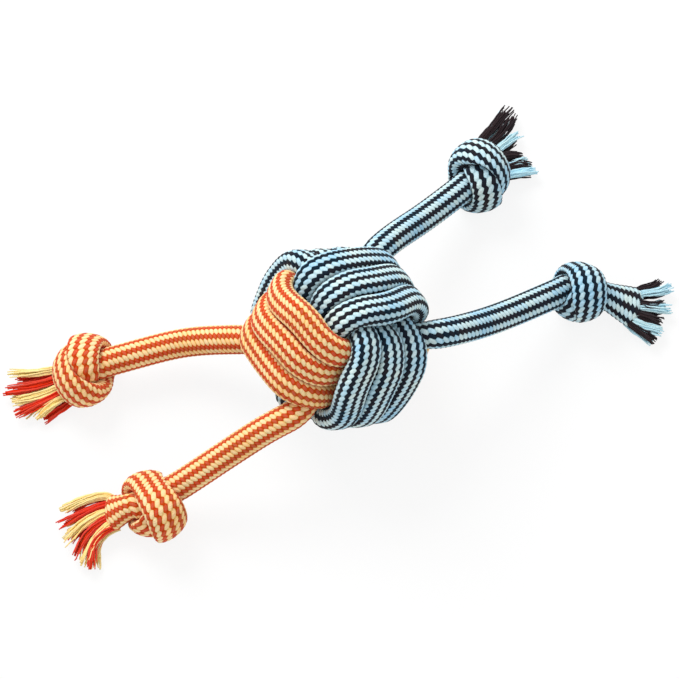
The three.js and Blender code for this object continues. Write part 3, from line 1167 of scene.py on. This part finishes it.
@dataclass(frozen=True)
class LegEase:
    """Distances along a leg over which its rope changes, in millimetres.

    Attributes:
        step: Spacing of the rope's rings.
        rounding: Distance over which the free rope is rounded off.
        entry: From where the knot's pull begins to the knot's first point.
        fade: Distance before there over which the rounding fades.
        slack: How far outside the knot its pull begins.
        grip: How far inside the knot its pull is full.
        root: Distance over which the hidden end thickens.
        stub: Distance over which the rope thins towards its stub.
        flare: From the knot to where the stub begins to flare.
        end: Length of the frayed end that draws in.
    """

    step: float = 0.5
    rounding: float = 6.0
    entry: float = 4.0
    fade: float = 12.0
    slack: float = 2.0
    grip: float = 8.0
    root: float = 22.0
    stub: float = 6.0
    flare: float = 1.0
    end: float = 5.0


@dataclass(frozen=True)
class Leg:
    """A free rope leg with its end knot and tassel. Sizes are in millimetres.

    Attributes:
        name: The leg's name, which its nodes, bodies and joints start with.
        yarns: Which rope it is.
        corner: Signs, along the top, left and right axes, of the corner that it leaves the fist by.
        knot_at: Plan place of the knot, from the middle of the fist.
        heading: Plan angle of the rope through the knot.
        roll: Turn of the knot about the rope.
        dip: How far the rope points down through the knot, in degrees.
        stub: Plan angle and length of the rope past the knot.
        flare: How much wider the rope's flattened end is than the rope.
        locks: The tassel's locks of yarn.
        seed: Seed of the yarns' scatter.
        rope: Half thickness of the free rope.
        hidden_rope: Half thickness at the hidden end.
        stub_rope: Half thickness past the knot.
        root_cover: From the core to the hidden end of the leg.
        straightness: How far the leg keeps its direction where it leaves the fist, from 0 to 1.
        end_height: Height of the rope's frayed end.
        end_closing: How much thinner the rope's frayed end is than the rope before it.
        entry_shift: How far to the left of the knot's middle the rope comes in.
        flex_share: Not used; meant as the share of the rope between its two joints that bends at each of
            them.
        lift_flex: Not used; meant as how many times as far the rope bends past its lift joint.
        path_every: Not used; meant as rings from one point of the cord's path to the next.
        ease: Distances over which the rope changes.
        knot: The knot's form.
    """

    name: str
    yarns: Yarns
    corner: tuple[int, int, int]
    knot_at: tuple[float, float]
    heading: float
    roll: float
    dip: float
    stub: tuple[float, float]
    flare: float
    locks: tuple[Lock, ...]
    seed: int
    rope: float = 7.4
    hidden_rope: float = 5.6
    stub_rope: float = 6.5
    root_cover: float = 13.0
    straightness: float = 0.5
    end_height: float = 6.6
    end_closing: float = 0.3
    entry_shift: float = 0.0
    flex_share: float = 0.8
    lift_flex: int = 2
    path_every: int = 4
    ease: LegEase = LegEase()
    knot: Knot = Knot()

    def joint_at(self, kind: str) -> np.ndarray:
        """Gives the place of the leg's swing or lift joint."""
        joint = next(j for j in frame["joints"] if j["name"] == f"{self.name}_{kind}")
        return np.array(joint["pos_m"])

    def knot_controls(self) -> np.ndarray:
        """Gives the knot's points where it lies, from the fist's side outwards."""
        points = self.knot.controls()
        turn, dip = math.radians(self.roll), math.radians(self.dip)
        forward, beside = level(self.heading), level(self.heading + 90)
        ahead = forward * math.cos(dip) - UP * math.sin(dip)
        above = forward * math.sin(dip) + UP * math.cos(dip)
        left = beside * math.cos(turn) + above * math.sin(turn)
        spun = points[:, :1] * ahead + points[:, 1:2] * left + points[:, 2:] * np.cross(ahead, left)
        spun[:, 2] += self.knot.lowest * MM - spun[:, 2].min()
        spun[:, :2] += np.array(self.knot_at) * MM + Fist().centre()[:2]
        return spun

    def controls(self, knot: np.ndarray) -> np.ndarray:
        """Gives the points that the rope goes through, from its hidden end to its frayed one.

        Args:
            knot: The knot's points.

        Returns:
            All the points.
        """
        fist = Fist()
        outward = sum(sign * axis for sign, axis in zip(self.corner, fist.axes())) / math.sqrt(3)
        core = fist.under_reach - fist.rope / 2
        hidden = fist.centre() + outward * (core + self.root_cover) * MM
        mouth = fist.centre() + outward * (fist.over_reach + fist.rope / 2) * MM
        swing, lift = self.joint_at("swing"), self.joint_at("lift")
        straight = swing + unit(swing - lift) * np.linalg.norm(mouth - swing)
        mouth += (straight - mouth) * self.straightness
        lead = knot[0] + unit(lift - knot[0]) * 2 * self.rope * MM
        end = knot[-1] + level(self.stub[0]) * self.stub[1] * MM
        end[2] = self.end_height * MM
        return np.vstack([hidden, mouth, swing, lift, lead, knot, end])

    def line(self) -> RopeLine:
        """Draws the rope from its hidden end to its frayed one.

        Returns:
            The rope's line.
        """
        ease = self.ease
        knot = self.knot_controls()[1:]
        knot[0] += level(self.heading + 90) * self.entry_shift * MM
        points = resampled(smooth_line(self.controls(knot)), ease.step * MM)
        soft = softened(points, ease.rounding * MM)
        runs = runs_of(points)
        entry = runs[np.argmin(np.linalg.norm(points - knot[0], axis=1))] - ease.entry * MM
        leaving = runs[np.argmin(np.linalg.norm(points - knot[-1], axis=1))]
        free = 1 - smoothstep(runs, entry - ease.fade * MM, entry)
        points = points + (soft - points) * free[:, None]
        tight = smoothstep(runs, entry - ease.slack * MM, entry + ease.grip * MM)
        tight *= 1 - smoothstep(runs, leaving - ease.grip * MM, leaving + ease.slack * MM)
        shown = smoothstep(runs, 0, ease.root * MM)
        past = smoothstep(runs, leaving - ease.stub * MM, leaving)
        free_radius = self.hidden_rope + (self.rope - self.hidden_rope) * shown
        free_radius += (self.stub_rope - self.rope) * past
        radius = free_radius + (self.knot.strand - free_radius) * tight
        radius *= 1 - self.end_closing * smoothstep(runs, runs[-1] - ease.end * MM, runs[-1]) ** 2
        rows = np.column_stack([points, radius * MM])
        line = RopeLine.along(self.name, rows, UP, carried=True)
        flared = smoothstep(runs, leaving + ease.flare * MM, runs[-1])
        outer = unit(points - knot.mean(axis=0)) * tight[:, None] + UP * (1 - tight)[:, None]
        widen = 1 + (self.knot.widen - 1) * tight + (self.flare - 1) * flared
        return line.shaped(outer, widen, self.knot.gather * tight)

    def build(self, crowd: Crowd) -> None:
        """Makes the leg's two stretches and its tassel.

        Args:
            crowd: All the ropes, which press on each other.
        """
        finish = FINISHES[self.yarns]
        line = self.line()
        swing, bend = line.nearest(self.joint_at("swing")), line.nearest(self.joint_at("lift"))
        split = (swing + bend) // 2
        root = BraidedRope(f"{self.name}_root_rope", line.cut(0, split), Section(), finish, crowd).build()
        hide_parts(f"{self.name}_leg_root", f"{self.name}_leg_inner")
        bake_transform(root)

        outer = line.cut(split, len(line.points) - 1)
        knot = BraidedRope(f"{self.name}_knot_rope", outer, Section(), finish, crowd).build()
        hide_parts(f"{self.name}_leg_outer", f"{self.name}_knot")
        inner, moving = f"{self.name}_inner", f"{self.name}_outer"
        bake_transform(knot)
        tassel = Tassel(self, line).build()
        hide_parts(f"{self.name}_tassel")
        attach(tassel, moving)


@dataclass(frozen=True)
class LockForm:
    """The line that a lock of yarn follows. Distances are in millimetres.

    Attributes:
        root_depth: How deep in the rope's end it starts.
        root_across: How far out it starts, as a share of where it leaves the end.
        root_height: How high it starts, as a share of the same.
        mouth: How far outside the end it turns towards its own way.
        ahead: Share of its length that it still keeps to the rope's way.
        away: Share of its length that it has gone its own way by its middle.
        middle_drop: Height of its middle, as a share of the rope end's.
        middle_height: What the height where it leaves the end adds to that, as a share.
        tip: Height of its tip.
        tip_height: What the height where it leaves the end adds to that, as a share.
        samples: Points between two of its control points.
        bow: How far it bows to one side.
    """

    root_depth: float = 5.0
    root_across: float = 0.75
    root_height: float = 0.9
    mouth: float = 0.5
    ahead: float = 0.15
    away: float = 0.35
    middle_drop: float = 0.75
    middle_height: float = 0.9
    tip: float = 3.4
    tip_height: float = 0.6
    samples: int = 12
    bow: float = 1.8


@dataclass(frozen=True)
class YarnForm:
    """The yarns of a lock. Distances are in millimetres and turns in radians.

    Attributes:
        count: Yarns in a lock.
        radius: Half thickness of a yarn.
        wide: Half width of the lock.
        tall: Half height of the lock.
        golden: Turn from one yarn to the next, round the lock.
        turn_scatter: Scatter of that turn.
        twist: Most that a lock twists from root to tip.
        shortest: Length of the shortest yarns, as a share of the longest.
        least: Least number of the lock's points that a yarn follows.
        root_spread: How far the yarns spread at the root, as a share of the lock.
        tip_spread: How much further they spread at the tip.
        sway: How far a yarn sways at its tip.
        sway_turn: Turns of the sway along the yarn.
        sway_phase: How the sway's start follows from the yarn's place in the lock.
        stray: Scatter of the tips to the sides.
        crimp: How far the yarns' crimp from the braid takes them sideways.
        crimp_length: Length of one crimp.
        taper: How much thinner the tip is.
        taper_from: Share of the length where it begins to thin.
        shade: Lowest and highest shade of a lock.
        shade_scatter: Scatter of the yarns' shades.
        crease: Painted shade of the lock's middle yarn, and the painted light that its place outwards and
            its tip add.
        grain_round: Width of the fibres' pattern round a yarn.
        rings: Rings along a yarn.
        sides: Points round a yarn.
    """

    count: int = 20
    radius: float = 0.42
    wide: float = 2.3
    tall: float = 1.3
    golden: float = 2.39996
    turn_scatter: float = 0.2
    twist: float = 1.2
    shortest: float = 0.84
    least: int = 6
    root_spread: float = 0.8
    tip_spread: float = 0.35
    sway: float = 0.5
    sway_turn: float = 5.0
    sway_phase: float = 3.0
    stray: float = 0.5
    crimp: float = 0.07
    crimp_length: float = 5.2
    taper: float = 0.3
    taper_from: float = 0.8
    shade: tuple[float, float] = (0.2, 0.8)
    shade_scatter: float = 0.25
    crease: tuple[float, float, float] = (0.45, 0.45, 0.1)
    grain_round: float = 3.0
    rings: int = 30
    sides: int = 6


@dataclass(frozen=True)
class Tassel:
    """The frayed end of a leg: locks of yarn, with as many of the other yarn under them.

    Attributes:
        leg: The leg that it ends.
        line: The leg's line.
        lock_form: The locks' lines.
        yarn_form: The locks' yarns.
        upper: Height of the upper locks over the middle of the rope's end, in millimetres.
        lower: Height of the locks under them, in the same way.
        lower_turn: How far to the left the lower locks lie, in degrees.
        lower_reach: Length of the lower locks, as a share of the upper ones.
    """

    leg: Leg
    line: RopeLine
    lock_form: LockForm = LockForm()
    yarn_form: YarnForm = YarnForm()
    upper: float = 2.6
    lower: float = -1.6
    lower_turn: float = 4.0
    lower_reach: float = 0.86

    def lock_line(self, lock: Lock, height: float, bow: float) -> np.ndarray:
        """Draws the middle line of a lock, from inside the rope's end to its tip.

        Args:
            lock: The lock.
            height: Where it leaves the rope's end, above its middle.
            bow: How far it bows to the left.

        Returns:
            Points along the lock.
        """
        form = self.lock_form
        end = self.line.points[-1]
        ahead, beside = level(self.leg.stub[0]), level(self.leg.stub[0] + 90)
        away, above = level(lock.angle), UP * height
        inside = beside * lock.across * form.root_across - ahead * form.root_depth
        start = end + (inside + above * form.root_height) * MM
        mouth = end + (beside * lock.across + ahead * form.mouth + above) * MM
        middle = mouth + (ahead * form.ahead + away * form.away) * lock.reach * MM
        tip = mouth + away * lock.reach * MM
        middle[2] = (self.leg.end_height * form.middle_drop + height * form.middle_height) * MM
        tip[2] = (form.tip + height * form.tip_height) * MM
        points = smooth_line(np.array([start, mouth, middle, tip]), form.samples)
        runs = runs_of(points)
        bowed = bow * np.sin(math.pi * runs / runs[-1])
        return points + MM * bowed[:, None] * level(lock.angle + 90)

    def add_lock(self, mesh: SurfaceMesh, lock: Lock, height: float, chance: np.random.Generator) -> None:
        """Adds a lock's yarns.

        Args:
            mesh: The tassel's mesh.
            lock: The lock.
            height: Where it leaves the rope's end, above its middle.
            chance: Source of scatter.
        """
        form = self.yarn_form
        circle = 2 * math.pi * np.arange(form.sides) / form.sides
        ring = np.column_stack([np.cos(circle), np.sin(circle)])
        middle = self.lock_line(lock, height, chance.uniform(-self.lock_form.bow, self.lock_form.bow))
        twist = chance.uniform(-form.twist, form.twist)
        phase = chance.uniform(0, 2 * math.pi)
        shade = chance.uniform(*form.shade)
        inner_painted_shade, outward_painted_light, tip_painted_light = form.crease
        for yarn in range(form.count):
            spread = math.sqrt((yarn + 0.5) / form.count)
            begin = yarn * form.golden + chance.normal(0, form.turn_scatter)
            cut = max(form.least, round(chance.uniform(form.shortest, 1.0) * len(middle)))
            path = resampled(middle[:cut], runs_of(middle[:cut])[-1] / (form.rings - 1))
            rows = np.column_stack([path, np.full(len(path), form.radius * MM)])
            line = RopeLine.along("yarn", rows, UP, carried=True)
            share = line.run / line.run[-1]
            turn = begin + twist * share
            loose = spread * (form.root_spread + form.tip_spread * share)
            sway = form.sway * share * np.sin(form.sway_turn * share + begin * form.sway_phase)
            sway += chance.normal(0, form.stray) * share ** 2
            crimp = form.crimp * np.sin(2 * math.pi * line.run / MM / form.crimp_length + phase)
            across = form.wide * loose * np.cos(turn) + sway + crimp
            above = form.tall * loose * np.sin(turn)
            centre = line.points + MM * (above[:, None] * line.side + across[:, None] * line.out)
            thick = line.radius * (1 - form.taper * smoothstep(share, form.taper_from, 1))
            grid = centre[:, None, :] + thick[:, None, None] * (
                ring[None, :, :1] * line.side[:, None, :] + ring[None, :, 1:] * line.out[:, None, :])
            shape = grid.shape[:2]
            # Painted shade: yarns deep in the lock are darker, and those further out and nearer the tip
            # lighter, read by the material as its crease.
            crease = inner_painted_shade + outward_painted_light * spread + tip_painted_light * share
            values = {
                "tone": np.full(shape, 1.0 if lock.light else -1.0),
                "crease": np.broadcast_to(crease[:, None], shape),
                "dye": np.full(shape, np.clip(shade + chance.normal(0, form.shade_scatter), 0, 1)),
            }
            around = np.linspace(0, form.grain_round, form.sides + 1) + begin
            mesh.add_tube(grid, around, line.run / MM, values)

    def build(self) -> bpy.types.Object:
        """Makes the locks of yarn in two layers.

        Returns:
            The tassel's object.
        """
        chance = np.random.default_rng(self.leg.seed)
        mesh = SurfaceMesh(f"{self.leg.name}_tassel_yarns")
        for lock in self.leg.locks:
            self.add_lock(mesh, lock, self.upper, chance)
            under = replace(
                lock,
                angle=lock.angle + self.lower_turn,
                reach=lock.reach * self.lower_reach,
                light=not lock.light,
            )
            self.add_lock(mesh, under, self.lower, chance)
        return mesh.made(FRAYED_FINISHES[self.leg.yarns])


LEGS = (
    Leg(
        "orange_left", Yarns.ORANGE, corner=(-1, 1, -1), knot_at=(-128, -4.5), heading=205, roll=214,
        dip=26, stub=(203, 5), flare=1.25, seed=11,
        locks=(
            Lock(-8, 181, 26, True), Lock(-4, 192, 32, False), Lock(-0.5, 198, 29, True),
            Lock(3.5, 205, 29, False), Lock(7.5, 214, 21, True),
        ),
    ),
    Leg(
        "orange_front", Yarns.ORANGE, corner=(-1, 1, 1), knot_at=(-93.5, -78), heading=182, roll=30, dip=0,
        stub=(186, 14), flare=1.5, seed=12, entry_shift=-5, knot=Knot(pull=(0.56, 1.08, 0.9)),
        locks=(
            Lock(-9, 194, 24, True), Lock(-5, 203, 27, False), Lock(-1, 215, 28, True),
            Lock(3, 232, 27, False), Lock(6, 240, 26, True), Lock(9, 248, 23, False),
        ),
    ),
    Leg(
        "blue_back", Yarns.BLUE, corner=(1, -1, -1), knot_at=(71, 105), heading=50, roll=250, dip=0,
        stub=(45, 9), flare=1.5, seed=13,
        locks=(
            Lock(13, 56, 28, False), Lock(9.5, 55, 27, False), Lock(4, 46, 21, True),
            Lock(-1, 22, 13, False), Lock(-4, 18, 14, True), Lock(-7, 16, 13, False),
            Lock(-10, 12, 13, True),
        ),
    ),
    Leg(
        "blue_right", Yarns.BLUE, corner=(1, -1, 1), knot_at=(124.5, 41.5), heading=-10, roll=-60, dip=0,
        stub=(-14, 24), flare=1.74, seed=14, knot=Knot(spacing=10.6, strand=6.8),
        locks=(
            Lock(10, 36, 12, False), Lock(8, 20, 17, True), Lock(3, 10, 13, False), Lock(0, 4, 17, True),
            Lock(-4, -14, 13, False), Lock(-7.5, -18, 15, True), Lock(-10.5, -34, 13, False),
        ),
    ),
)


@dataclass(frozen=True)
class Lamp:
    """A soft lamp.

    Attributes:
        name: Its name.
        place: Where it stands, in metres.
        watts: Its power.
        size: Its width, in metres.
    """

    name: str
    place: tuple[float, float, float]
    watts: float
    size: float

    def build(self) -> None:
        """Adds the lamp, pointed at the fist."""
        data = bpy.data.lights.new(self.name, "AREA")
        data.energy = self.watts
        data.size = self.size
        lamp = bpy.data.objects.new(self.name, data)
        lamp.location = self.place
        sight = Vector(Fist().centre()) - Vector(self.place)
        lamp.rotation_euler = sight.to_track_quat("-Z", "Y").to_euler()
        bpy.context.scene.collection.objects.link(lamp)


@dataclass(frozen=True)
class Studio:
    """The floor, the light and the camera.

    Attributes:
        image: Width and height of the picture, in pixels.
        scale: Pixels for each millimetre at the fist's middle.
        fist_at: Pixel that shows the fist's middle.
        elevation: The camera's angle above the floor, in degrees.
        lens: Focal length of the camera, in millimetres.
        sensor: Width of its sensor, in millimetres.
        sight: Distance that the camera sees, in metres.
        floor: Width of the floor, in metres.
        floor_paint: The floor's colour.
        floor_roughness: The floor's roughness.
        floor_glow: Share of the floor that is plain white where it is looked at.
        sky: Strength of the light all round.
        lamps: The lamps.
    """

    image: int = 679
    scale: float = 1.97
    fist_at: tuple[float, float] = (338.0, 338.0)
    elevation: float = 67.0
    lens: float = 300.0
    sensor: float = 36.0
    sight: float = 50.0
    floor: float = 6.0
    floor_paint: Colour = (0.94, 0.94, 0.94, 1)
    floor_roughness: float = 0.9
    floor_glow: float = 0.86
    sky: float = 0.67
    lamps: tuple[Lamp, ...] = (
        Lamp("key", (-0.6, 0.9, 1.2), 20.0, 0.8),
        Lamp("fill", (0.9, -0.7, 1.0), 1.2, 1.0),
    )

    def build_camera(self) -> None:
        """Places the camera at the picture's angle."""
        data = bpy.data.cameras.new("camera")
        data.lens = self.lens
        data.sensor_width = self.sensor
        data.clip_end = self.sight
        camera = bpy.data.objects.new("camera", data)
        bpy.context.scene.collection.objects.link(camera)
        tilt = math.radians(self.elevation)
        back = Vector((0, -math.cos(tilt), math.sin(tilt)))
        up = Vector((0, math.sin(tilt), math.cos(tilt)))
        width = self.image / self.scale * MM
        right_by = (self.image / 2 - self.fist_at[0]) / self.scale * MM
        down_by = (self.image / 2 - self.fist_at[1]) / self.scale * MM
        target = Vector(Fist().centre()) + Vector((right_by, 0, 0)) - up * down_by
        camera.location = target + back * (width * self.lens / self.sensor)
        camera.rotation_euler = (math.radians(90 - self.elevation), 0, 0)
        bpy.context.scene.camera = camera

    def looked_at(self, tree: bpy.types.NodeTree, low: float, high: float) -> Socket:
        """Tells rays that look at a surface, straight or by gloss or glass, from those that light others.

        Args:
            tree: The nodes to add to.
            low: Value for rays that light others.
            high: Value for rays that look.

        Returns:
            The value's socket.
        """
        path = tree.nodes.new("ShaderNodeLightPath")
        total = path.outputs["Is Camera Ray"]
        for kind in ("Is Glossy Ray", "Is Transmission Ray"):
            either = tree.nodes.new("ShaderNodeMath")
            either.operation = "MAXIMUM"
            tree.links.new(total, either.inputs[0])
            tree.links.new(path.outputs[kind], either.inputs[1])
            total = either.outputs["Value"]
        ranged = tree.nodes.new("ShaderNodeMapRange")
        ranged.inputs["To Min"].default_value = low
        ranged.inputs["To Max"].default_value = high
        tree.links.new(total, ranged.inputs["Value"])
        return ranged.outputs["Result"]

    def build_floor(self) -> None:
        """Makes the plain pale floor."""
        half = self.floor / 2
        mesh = bpy.data.meshes.new("floor")
        corners = [(-half, -half, 0), (half, -half, 0), (half, half, 0), (-half, half, 0)]
        mesh.from_pydata(corners, [], [(0, 1, 2, 3)])
        floor = bpy.data.objects.new("floor", mesh)
        bpy.context.scene.collection.objects.link(floor)
        material = bpy.data.materials.new("pale_floor")
        material.use_nodes = True
        tree = material.node_tree
        paint = tree.nodes["Principled BSDF"]
        paint.inputs["Base Color"].default_value = self.floor_paint
        paint.inputs["Roughness"].default_value = self.floor_roughness
        paint.inputs["Specular IOR Level"].default_value = 0.0
        white = tree.nodes.new("ShaderNodeEmission")
        mixed = tree.nodes.new("ShaderNodeMixShader")
        tree.links.new(self.looked_at(tree, 0.0, self.floor_glow), mixed.inputs["Fac"])
        tree.links.new(paint.outputs["BSDF"], mixed.inputs[1])
        tree.links.new(white.outputs["Emission"], mixed.inputs[2])
        tree.links.new(mixed.outputs["Shader"], tree.nodes["Material Output"].inputs["Surface"])
        mesh.materials.append(material)

    def build_light(self) -> None:
        """Sets the soft light all round and the lamps."""
        world = bpy.data.worlds.new("studio")
        bpy.context.scene.world = world
        world.use_nodes = True
        tree = world.node_tree
        sky = tree.nodes["Background"]
        sky.inputs["Color"].default_value = (1, 1, 1, 1)
        tree.links.new(self.looked_at(tree, self.sky, 1.0), sky.inputs["Strength"])
        for lamp in self.lamps:
            lamp.build()

    def build(self) -> None:
        """Makes the whole studio."""
        bpy.context.scene.view_settings.view_transform = "Standard"
        self.build_camera()
        self.build_floor()
        self.build_light()


def main() -> None:
    """Builds the studio, the legs, the fist and its core."""
    logging.basicConfig(level=logging.INFO, format="%(message)s")
    Studio().build()
    fist = Fist()
    crowd = Crowd([line for _, line in fist.lines().values()] + [leg.line() for leg in LEGS])
    for leg in LEGS:
        leg.build(crowd)
    fist.build(crowd)
    Core().build()


if __name__ == "__main__":
    main()
